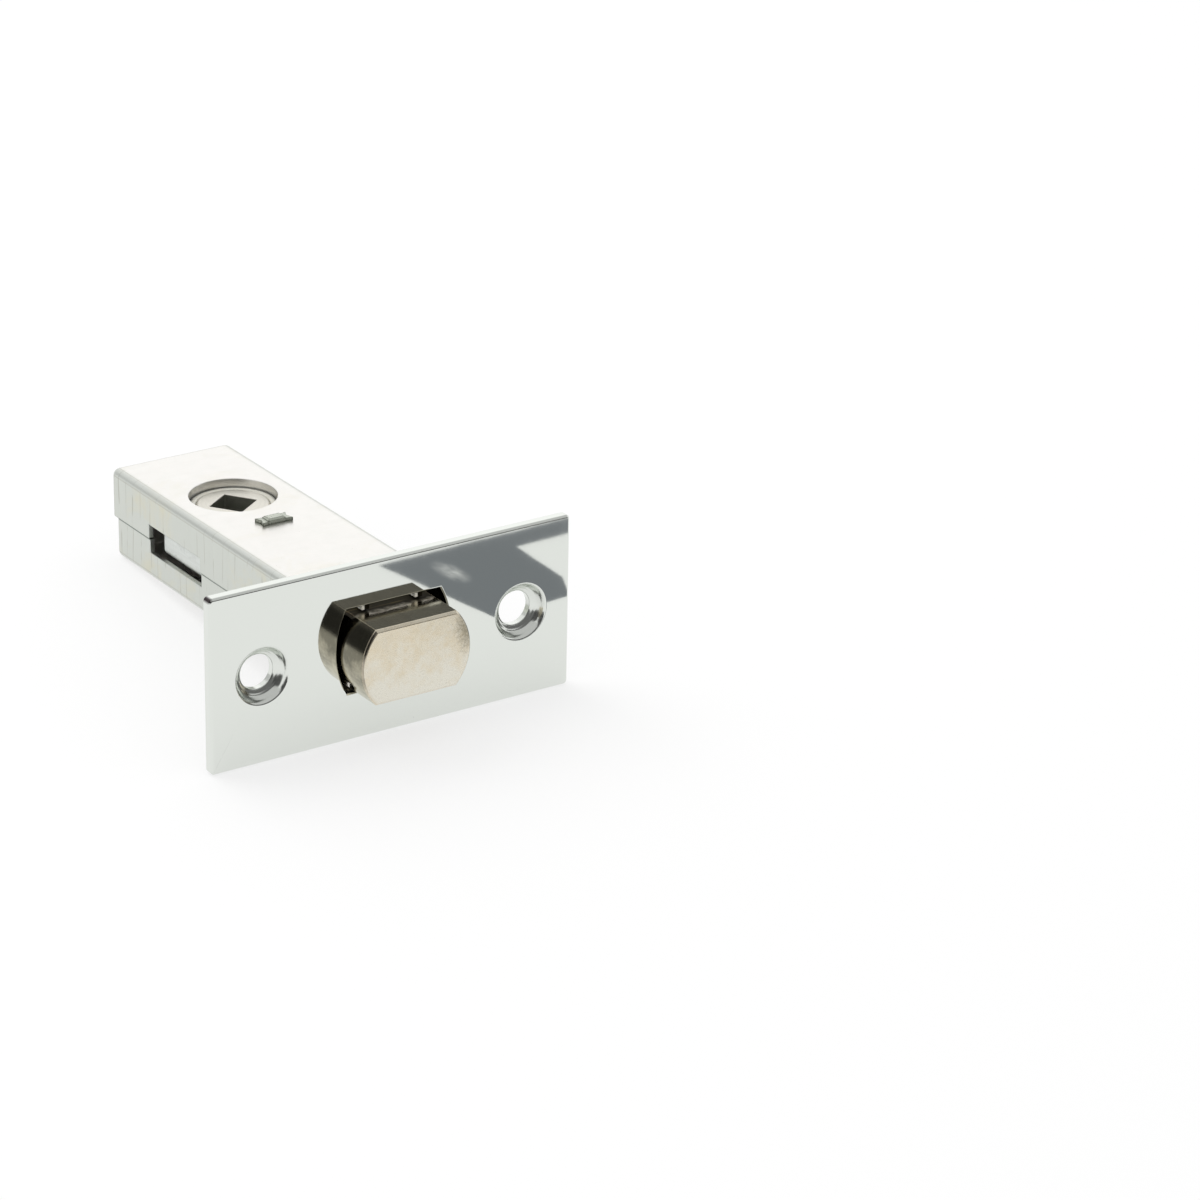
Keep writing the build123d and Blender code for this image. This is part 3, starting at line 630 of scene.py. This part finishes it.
def makeSteel(look):
    material, tree, shader, place = startFinish(look["name"], look["metallic"])
    lines = useGroup(tree, brushLines, {"Vector": place, "Stretch": look["stretch"]})
    blotch = useGroup(tree, platedStain, {"Vector": place, "Size": 0.9, "Amount": look["stain"]}).outputs[0]
    edgeMarks = useGroup(tree, outerEdgeMask, {
        "Vector": place, "Width": look["edgeWidth"], "Grain": 2.5, "Reach": look["edgeReach"],
    }).outputs[0]
    dark = calc(tree, "MAXIMUM", blotch, calc(tree, "MULTIPLY", lines.outputs["Mask"], 0.4))
    colour = blendColour(tree, dark, look["colour"], look["dark"])
    edges = calc(tree, "MULTIPLY", edgeMarks, look["edge"])
    colour = blendColour(tree, edges, colour, look["edgeColour"])
    # Darkening in crevices from ambient occlusion: dirt and painted shade
    if "dirtShadeReach" in look:
        nearby = addNode(tree, "ShaderNodeAmbientOcclusion", {"Distance": look["dirtShadeReach"]}, samples=4)
        dirtAndShade = remap(tree, nearby.outputs["AO"], 0.35, 0.85, 0.95, 0.0)
        colour = blendColour(tree, dirtAndShade, colour, look["edgeColour"])
    low, high = look["roughness"]
    feed(
        tree,
        shader,
        Base_Color=colour,
        Roughness=remap(tree, lines.outputs["Mask"], 0, 1, low, high),
        Normal=bump(tree, lines.outputs["Height"], look["depth"]),
    )
    return material


chrome = makeChrome()
nickel = makeNickel()
zinc = makeZinc()
cast = makeCast()
bushPlastic = makeBushPlastic()
stakedSteel = makeSteel(stakedLook)
tailSteel = makeSteel(tailLook)
pinSteel = makeSteel(pinLook)
springSteel = makeSteel(springLook)
print("finishes made")


# Turns an object's modifiers into a plain mesh
def bake(piece):
    graph = bpy.context.evaluated_depsgraph_get()
    mesh = bpy.data.meshes.new_from_object(piece.evaluated_get(graph))
    piece.modifiers.clear()
    piece.data = mesh
    return piece


def addPiece(name, mesh):
    piece = bpy.data.objects.new(name, mesh)
    scene.collection.objects.link(piece)
    return piece


def settle(piece, body, slotName, *nodes):
    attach(piece, body)
    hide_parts(*nodes)
    return piece


# The metal pieces: each is a copy of its solid with its doubles merged and its corners rounded
metalPieces = {
    "faceplate": {
        "body": "lock_case", "slot": "polished_chrome", "finish": chrome,
        "edge": 0.10, "steps": 3,
    },
    "upper_case": {
        "body": "lock_case", "slot": "zinc_plated_sheet", "finish": zinc,
        "edge": 0.08, "steps": 2,
    },
    "lower_case": {
        "body": "lock_case", "slot": "zinc_plated_sheet", "finish": zinc,
        "edge": 0.08, "steps": 2,
    },
    "case_post": {
        "body": "lock_case", "slot": "staked_steel", "finish": stakedSteel,
        "edge": 0.13, "steps": 3,
    },
    "bolt_head": {
        "body": "bolt", "slot": "nickel_plated_brass", "finish": nickel,
        "edge": 0.09, "steps": 3,
    },
    "bolt_tail": {
        "body": "bolt", "slot": "tail_steel", "finish": tailSteel,
        "edge": 0.08, "steps": 2,
    },
    "follower_lower": {
        "body": "follower", "slot": "cast_zinc", "finish": cast,
        "edge": 0.10, "steps": 2,
    },
    "follower_upper": {
        "body": "follower", "slot": "cast_zinc", "finish": cast,
        "edge": 0.10, "steps": 2,
    },
    "drive_pin": {
        "body": "follower", "slot": "pin_steel", "finish": pinSteel,
        "edge": 0.15, "steps": 2,
    },
}
sharpFrom = radians(32)
flatWithin = radians(0.4)
mergeWithin = 0.002 * mm


def dressPiece(name, look):
    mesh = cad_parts[name].data.copy()
    for attribute in [a.name for a in mesh.attributes if a.name == "custom_normal"]:
        mesh.attributes.remove(mesh.attributes[attribute])
    work = bmesh.new()
    work.from_mesh(mesh)
    bmesh.ops.remove_doubles(work, verts=work.verts, dist=mergeWithin)
    bmesh.ops.dissolve_limit(work, angle_limit=flatWithin, verts=work.verts, edges=work.edges)
    bmesh.ops.recalc_face_normals(work, faces=work.faces)
    for face in work.faces:
        face.smooth = True
    work.to_mesh(mesh)
    work.free()
    mesh.set_sharp_from_angle(angle=sharpFrom)
    mesh.materials.clear()
    mesh.materials.append(look["finish"])
    piece = addPiece(name + "_dressed", mesh)
    rounding = piece.modifiers.new("rounding", "BEVEL")
    rounding.width = look["edge"] * mm
    rounding.segments = look["steps"]
    rounding.limit_method = "ANGLE"
    rounding.angle_limit = sharpFrom
    evening = piece.modifiers.new("evening", "WEIGHTED_NORMAL")
    evening.keep_sharp = True
    bake(piece)
    return settle(piece, look["body"], look["slot"], name)


for name, look in metalPieces.items():
    dressed = dressPiece(name, look)
    print("dressed", name, len(dressed.data.polygons))


# Geometry node trees for what repeats or follows a path
def newGeometryTree(name, inputs, takesCurve=False):
    tree = bpy.data.node_groups.new(name, "GeometryNodeTree")
    if takesCurve:
        tree.interface.new_socket("Path", in_out="INPUT", socket_type="NodeSocketGeometry")
    for label, value in inputs.items():
        kind = "NodeSocketVector" if isinstance(value, tuple) else "NodeSocketFloat"
        tree.interface.new_socket(label, in_out="INPUT", socket_type=kind).default_value = value
    tree.interface.new_socket("Finish", in_out="INPUT", socket_type="NodeSocketMaterial")
    tree.interface.new_socket("Geometry", in_out="OUTPUT", socket_type="NodeSocketGeometry")
    return tree, tree.nodes.new("NodeGroupInput"), tree.nodes.new("NodeGroupOutput")


# Copies a shape to a row of two points and ends the tree
def placePair(tree, start, end, shape, first, second):
    sockets = {"Count": 2, "Start Location": first, "Offset": second}
    row = addNode(tree, "GeometryNodeMeshLine", sockets, mode="END_POINTS")
    copies = addNode(tree, "GeometryNodeInstanceOnPoints", {"Points": row.outputs[0], "Instance": shape})
    whole = addNode(tree, "GeometryNodeRealizeInstances", {"Geometry": copies.outputs[0]})
    smooth = addNode(tree, "GeometryNodeSetShadeSmooth", {"Geometry": whole.outputs[0]})
    sockets = {"Geometry": smooth.outputs[0], "Material": start.outputs["Finish"]}
    done = addNode(tree, "GeometryNodeSetMaterial", sockets)
    tree.links.new(done.outputs[0], end.inputs[0])


def runTree(piece, tree, inputs, finish):
    modifier = piece.modifiers.new(tree.name, "NODES")
    modifier.node_group = tree
    for item in tree.interface.items_tree:
        if item.in_out == "INPUT" and item.name in inputs:
            modifier[item.identifier] = inputs[item.name]
        if item.in_out == "INPUT" and item.name == "Finish":
            modifier[item.identifier] = finish
    bake(piece)
    piece.data.set_sharp_from_angle(angle=sharpFrom)
    return piece


# Hub bushes: a rounded section swept round the hub, one above and one below
upperBushLow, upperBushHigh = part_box("upper_bush")
bushSizes = {
    "Outer Radius": (upperBushHigh.x - upperBushLow.x) / 2,
    "Wall": 1.0 * mm,
    "Length": upperBushHigh.z - upperBushLow.z,
    "Edge": 0.22 * mm,
    "Hub Depth": (upperBushHigh.y + upperBushLow.y) / 2,
    "Middle Height": (upperBushHigh.z + upperBushLow.z) / 2,
}


def makeBushes():
    tree, start, end = newGeometryTree("hubBushes", bushSizes)
    sizes = start.outputs
    halfWall = calc(tree, "MULTIPLY", sizes["Wall"], 0.5)
    ring = calc(tree, "SUBTRACT", sizes["Outer Radius"], halfWall)
    path = addNode(tree, "GeometryNodeCurvePrimitiveCircle", {"Resolution": 96, "Radius": ring})
    section = addNode(
        tree, "GeometryNodeCurvePrimitiveQuadrilateral", {"Width": sizes["Wall"], "Height": sizes["Length"]}
    )
    sockets = {"Curve": section.outputs[0], "Radius": sizes["Edge"], "Count": 3}
    rounded = addNode(tree, "GeometryNodeFilletCurve", sockets, mode="POLY")
    swept = addNode(
        tree, "GeometryNodeCurveToMesh", {"Curve": path.outputs[0], "Profile Curve": rounded.outputs[0]}
    )
    below = calc(tree, "MULTIPLY", sizes["Middle Height"], -1.0)
    first = makeVector(tree, y=sizes["Hub Depth"], z=below)
    second = makeVector(tree, y=sizes["Hub Depth"], z=sizes["Middle Height"])
    placePair(tree, start, end, swept.outputs[0], first, second)
    piece = addPiece("hub_bushes", bpy.data.meshes.new("hub_bushes"))
    runTree(piece, tree, bushSizes, bushPlastic)
    return settle(piece, "lock_case", "acetal_bush", "upper_bush", "lower_bush")


# Detent springs: a flat strip that follows the bends of its path, one above and one below
springLow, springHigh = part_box("upper_detent_spring")
stripSizes = {
    "Thickness": 0.5 * mm,
    "Strip Height": springHigh.z - springLow.z,
    "Bend Radius": 0.9 * mm,
    "Middle Height": (springHigh.z + springLow.z) / 2,
}
stripPath = {"legHalf": 2.95 * mm, "droop": 0.9 * mm, "spanHalf": 7.4 * mm}


def makeSprings():
    tree, start, end = newGeometryTree("detentSprings", stripSizes, takesCurve=True)
    sizes = start.outputs
    sockets = {"Curve": start.outputs["Path"], "Radius": sizes["Bend Radius"], "Count": 10}
    bent = addNode(tree, "GeometryNodeFilletCurve", sockets, mode="POLY")
    section = addNode(
        tree,
        "GeometryNodeCurvePrimitiveQuadrilateral",
        {"Width": sizes["Strip Height"], "Height": sizes["Thickness"]},
    )
    sockets = {"Curve": section.outputs[0], "Radius": 0.06 * mm, "Count": 2}
    rounded = addNode(tree, "GeometryNodeFilletCurve", sockets, mode="POLY")
    swept = addNode(
        tree,
        "GeometryNodeCurveToMesh",
        {"Curve": bent.outputs[0], "Profile Curve": rounded.outputs[0], "Fill Caps": True},
    )
    below = calc(tree, "MULTIPLY", sizes["Middle Height"], -1.0)
    first = makeVector(tree, z=below)
    second = makeVector(tree, z=sizes["Middle Height"])
    placePair(tree, start, end, swept.outputs[0], first, second)
    back = springHigh.y - stripSizes["Thickness"] / 2
    front = springLow.y + stripSizes["Thickness"] / 2
    leg, span, tip = stripPath["legHalf"], stripPath["spanHalf"], back - stripPath["droop"]
    corners = [(-span, tip), (-leg, back), (-leg, front), (leg, front), (leg, back), (span, tip)]
    curve = bpy.data.curves.new("springPath", "CURVE")
    curve.dimensions = "3D"
    line = curve.splines.new("POLY")
    line.points.add(len(corners) - 1)
    for point, (x, y) in zip(line.points, corners):
        point.co = (x, y, 0, 1)
    piece = addPiece("detent_springs_path", curve)
    modifier = piece.modifiers.new(tree.name, "NODES")
    modifier.node_group = tree
    for item in tree.interface.items_tree:
        if item.in_out == "INPUT" and item.name in stripSizes:
            modifier[item.identifier] = stripSizes[item.name]
        if item.in_out == "INPUT" and item.name == "Finish":
            modifier[item.identifier] = springSteel
    graph = bpy.context.evaluated_depsgraph_get()
    mesh = bpy.data.meshes.new_from_object(piece.evaluated_get(graph))
    bpy.data.objects.remove(piece)
    springs = addPiece("detent_springs", mesh)
    mesh.set_sharp_from_angle(angle=sharpFrom)
    return settle(springs, "lock_case", "spring_steel", "upper_detent_spring", "lower_detent_spring")


# Rivets through the bolt's tongue: a round bar whose ends draw in
rivetLow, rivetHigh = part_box("left_bolt_rivet")
otherLow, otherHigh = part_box("right_bolt_rivet")
rivetSizes = {
    "Radius": (rivetHigh.x - rivetLow.x) / 2,
    "Length": rivetHigh.z - rivetLow.z,
    "End Round": 0.3 * mm,
    "First Place": ((rivetLow.x + rivetHigh.x) / 2, (rivetLow.y + rivetHigh.y) / 2, 0.0),
    "Second Place": ((otherLow.x + otherHigh.x) / 2, (otherLow.y + otherHigh.y) / 2, 0.0),
}


def makeRivets():
    tree, start, end = newGeometryTree("boltRivets", rivetSizes)
    sizes = start.outputs
    half = calc(tree, "MULTIPLY", sizes["Length"], 0.5)
    foot = makeVector(tree, z=calc(tree, "MULTIPLY", half, -1.0))
    bar = addNode(tree, "GeometryNodeCurvePrimitiveLine", {"Start": foot, "End": makeVector(tree, z=half)})
    fine = addNode(tree, "GeometryNodeResampleCurve", {"Curve": bar.outputs[0], "Count": 150})
    place = addNode(tree, "GeometryNodeInputPosition").outputs[0]
    height = calc(tree, "ABSOLUTE", addNode(tree, "ShaderNodeSeparateXYZ", {0: place}).outputs[2])
    inward = calc(tree, "SUBTRACT", half, height)
    share = calc(tree, "MINIMUM", calc(tree, "DIVIDE", inward, sizes["End Round"]), 1.0)
    drawn = calc(tree, "SUBTRACT", 1.0, share)
    cut = calc(tree, "MULTIPLY", sizes["End Round"], calc(tree, "MULTIPLY", drawn, drawn))
    disc = addNode(tree, "GeometryNodeCurvePrimitiveCircle", {"Resolution": 40, "Radius": 1.0})
    sockets = {"Curve": fine.outputs[0], "Profile Curve": disc.outputs[0], "Fill Caps": True}
    sockets["Scale"] = calc(tree, "SUBTRACT", sizes["Radius"], cut)
    solid = addNode(tree, "GeometryNodeCurveToMesh", sockets)
    placePair(tree, start, end, solid.outputs[0], sizes["First Place"], sizes["Second Place"])
    piece = addPiece("bolt_rivets", bpy.data.meshes.new("bolt_rivets"))
    runTree(piece, tree, rivetSizes, nickel)
    return settle(piece, "bolt", "nickel_plated_brass", "left_bolt_rivet", "right_bolt_rivet")


for made in (makeBushes(), makeSprings(), makeRivets()):
    low = [round(min(v.co[k] for v in made.data.vertices) / mm, 2) for k in range(3)]
    high = [round(max(v.co[k] for v in made.data.vertices) / mm, 2) for k in range(3)]
    print("made", made.name, low, high, len(made.data.polygons))


# Studio: a pale floor that touches the plate's lower edge and the rear of the case
studio = {
    "floorSize": 3.0,
    "plateFoot": (1.5 * mm, -12.75 * mm),
    "caseFoot": (61.0 * mm, -6.75 * mm),
    "openColour": (0.86, 0.86, 0.86, 1),
    "shadowShare": 0.35,
    "glossShare": 0.25,
}
footY, footZ = studio["plateFoot"]
caseY, caseZ = studio["caseFoot"]
floorSlope = (caseZ - footZ) / (caseY - footY)


def floorHeight(y):
    return footZ + (y - footY) * floorSlope


# White for the camera, yet it still takes the lock's shadow. Reflections see a whiter mix of the same kind
def makeFloorPaper():
    material = bpy.data.materials.new("floorPaper")
    material.use_nodes = True
    tree = material.node_tree
    tree.nodes.clear()
    path = addNode(tree, "ShaderNodeLightPath").outputs

    def paper(share):
        tone = (share, share, share, 1)
        lit = addNode(tree, "ShaderNodeBsdfDiffuse", {"Color": tone}).outputs[0]
        glow = addNode(tree, "ShaderNodeEmission", {"Strength": 1.0 - share}).outputs[0]
        return addNode(tree, "ShaderNodeAddShader", {0: lit, 1: glow}).outputs[0]

    plain = addNode(tree, "ShaderNodeBsdfDiffuse", {"Color": studio["openColour"]}).outputs[0]
    shiny = calc(tree, "MAXIMUM", path["Is Glossy Ray"], path["Is Transmission Ray"])
    mixed = addNode(tree, "ShaderNodeMixShader", {0: shiny, 1: plain, 2: paper(studio["glossShare"])})
    seen = addNode(
        tree,
        "ShaderNodeMixShader",
        {0: path["Is Camera Ray"], 1: mixed.outputs[0], 2: paper(studio["shadowShare"])},
    )
    addNode(tree, "ShaderNodeOutputMaterial", {"Surface": seen.outputs[0]})
    return material


floorHalf = studio["floorSize"] / 2
floorMesh = bpy.data.meshes.new("floor")
corners = [(x, y, floorHeight(y)) for x, y in (
    (-floorHalf, -floorHalf), (floorHalf, -floorHalf), (floorHalf, floorHalf), (-floorHalf, floorHalf)
)]
floorMesh.from_pydata(corners, [], [(0, 1, 2, 3)])
floorMesh.materials.append(makeFloorPaper())
floor = addPiece("floor", floorMesh)

# World: plain white all round, a little softer as light than as background
worldLook = {"light": 0.85}
world = bpy.data.worlds.new("studioWorld")
scene.world = world
world.use_nodes = True
worldTree = world.node_tree
worldTree.nodes.clear()
worldPath = addNode(worldTree, "ShaderNodeLightPath").outputs
shown = calc(worldTree, "MAXIMUM", worldPath["Is Camera Ray"], worldPath["Is Glossy Ray"])
shown = calc(worldTree, "MAXIMUM", shown, worldPath["Is Transmission Ray"])
strength = remap(worldTree, shown, 0, 1, worldLook["light"], 1.0)
sky = addNode(worldTree, "ShaderNodeBackground", {"Color": (1, 1, 1, 1), "Strength": strength})
addNode(worldTree, "ShaderNodeOutputWorld", {"Surface": sky.outputs[0]})

# Cards that only the metal's reflections see: position and size in millimetres, tone as emitted light
cards = {
    "frontDark": {"centre": (40, -300, 125), "size": (1300, 300), "aim": (40, 0, 125), "tone": 0.16},
    "frontBlack": {"centre": (-230, -230, 120), "size": (330, 260), "aim": (0, 0, 120), "tone": 0.075},
    "frontGrey": {"centre": (40, -170, 420), "size": (1100, 440), "aim": (0, 30, 0), "tone": 0.62},
    "rearSoftbox": {"centre": (290, 430, 235), "size": (520, 360), "aim": (0, 30, 0), "tone": 1.18},
    "leftGrey": {"centre": (-330, 330, 170), "size": (300, 260), "aim": (0, 30, 0), "tone": 0.6},
}


# A dark sheet lying on the floor in front, seen only in the metal's reflections, by its corners along X and
# Y
floorSheet = {
    "corners": ((35, -29), (49, -30), (53, -38), (56, -55), (66, -55.5), (71, -62), (35, -61)),
    "tone": 0.23, "tint": (0.96, 1.02, 1.10),
}
# A soft pale streak that glows over the dark sheet, seen only in the metal's reflections, brightest along
# its middle
floorGlint = {
    "corners": ((38.2, -54.5), (42.6, -54.5), (41.4, -42.5), (37.0, -42.5)),
    "tone": 0.8, "lift": 2.0,
    "softCentre": (40.0, -48.6), "softReach": (2.1, 6.4), "slant": 0.12,
}


# A mask that fades out from a place on the card, streaked along Y
def softPatch(tree, look):
    place = addNode(tree, "ShaderNodeTexCoord").outputs["Object"]
    scaled = addNode(tree, "ShaderNodeVectorMath", {0: place, 3: 1 / mm}, operation="SCALE").outputs[0]
    parts = addNode(tree, "ShaderNodeSeparateXYZ", {0: scaled})
    fromX = calc(tree, "SUBTRACT", parts.outputs[0], look["softCentre"][0])
    fromY = calc(tree, "SUBTRACT", parts.outputs[1], look["softCentre"][1])
    leaned = calc(tree, "ADD", fromX, calc(tree, "MULTIPLY", fromY, look["slant"]))
    away = makeVector(
        tree,
        calc(tree, "DIVIDE", leaned, look["softReach"][0]),
        calc(tree, "DIVIDE", fromY, look["softReach"][1]),
    )
    reach = addNode(tree, "ShaderNodeVectorMath", {0: away}, operation="LENGTH").outputs["Value"]
    streaks = noise(tree, stretch(tree, scaled, (2.6, 0.35, 0.0)), 1.0, 3.0, 0.6)
    return calc(tree, "MULTIPLY", remap(tree, reach, 0.15, 1.0, 1.0, 0.0), remap(tree, streaks, 0.35, 0.6))


def makeCard(name, look):
    mesh = bpy.data.meshes.new(name)
    if "corners" in look:
        lift = look.get("lift", 1.0) * mm
        lying = [(x * mm, y * mm, floorHeight(y * mm) + lift) for x, y in look["corners"]]
        mesh.from_pydata(lying, [], [tuple(range(len(lying)))])
    else:
        width, height = (size / 2 * mm for size in look["size"])
        rim = [(-width, -height, 0), (width, -height, 0), (width, height, 0), (-width, height, 0)]
        mesh.from_pydata(rim, [], [(0, 1, 2, 3)])
    material = bpy.data.materials.new(name + "Tone")
    material.use_nodes = True
    tree = material.node_tree
    tree.nodes.clear()
    tone = tuple(look["tone"] * share for share in look.get("tint", (1, 1, 1))) + (1,)
    glow = addNode(tree, "ShaderNodeEmission", {"Color": tone, "Strength": 1.0}).outputs[0]
    if "softCentre" in look:
        glow = addNode(tree, "ShaderNodeMixShader", {
            0: softPatch(tree, look), 1: addNode(tree, "ShaderNodeBsdfTransparent").outputs[0], 2: glow,
        }).outputs[0]
    addNode(tree, "ShaderNodeOutputMaterial", {"Surface": glow})
    mesh.materials.append(material)
    card = addPiece(name, mesh)
    if "aim" in look:
        centre = Vector(look["centre"]) * mm
        towards = Vector(look["aim"]) * mm - centre
        turned = towards.to_track_quat("Z", "Y").to_matrix().to_4x4()
        card.matrix_world = Matrix.Translation(centre) @ turned
    card.visible_camera = False
    card.visible_diffuse = False
    card.visible_shadow = False
    card.visible_transmission = False
    return card


for name, look in cards.items():
    makeCard(name, look)
makeCard("floorSheet", floorSheet)
makeCard("floorGlint", floorGlint)

# One broad soft lamp from behind and above, for the shadow
lampLook = {"place": (-0.25, 0.45, 0.75), "size": 0.6, "watts": 2.2}
lampData = bpy.data.lights.new("softLamp", "AREA")
lampData.shape = "SQUARE"
lampData.size = lampLook["size"]
lampData.energy = lampLook["watts"]
lamp = bpy.data.objects.new("softLamp", lampData)
scene.collection.objects.link(lamp)
lampPlace = Vector(lampLook["place"])
lampTurn = (Vector((0, 0.03, 0)) - lampPlace).to_track_quat("-Z", "Y").to_matrix().to_4x4()
lamp.matrix_world = Matrix.Translation(lampPlace) @ lampTurn
lamp.visible_glossy = False

# Camera at the photograph's place: angles in degrees, distances in millimetres
cameraLook = {
    "azimuth": -34.625, "elevation": 23.223, "roll": 1.164,
    "distance": 617.29, "target": (33.71, 0, -1.21), "lens": 132.83,
}


def placeCamera(look):
    azimuth, elevation, roll = (radians(look[key]) for key in ("azimuth", "elevation", "roll"))
    back = Vector((sin(azimuth) * cos(elevation), -cos(azimuth) * cos(elevation), sin(elevation)))
    right = (-back).cross(Vector((0, 0, 1))).normalized()
    up = right.cross(-back)
    rightRolled = cos(roll) * right + sin(roll) * up
    upRolled = cos(roll) * up - sin(roll) * right
    place = (Vector(look["target"]) + back * look["distance"]) * mm
    data = bpy.data.cameras.new("camera")
    data.lens = look["lens"]
    data.sensor_width = 36.0
    data.clip_start = 0.01
    data.clip_end = 20.0
    camera = bpy.data.objects.new("camera", data)
    scene.collection.objects.link(camera)
    axes = Matrix((rightRolled, upRolled, back)).transposed().to_4x4()
    camera.matrix_world = Matrix.Translation(place) @ axes
    return camera


scene.camera = placeCamera(cameraLook)
scene.view_settings.view_transform = "Standard"
print("studio made")
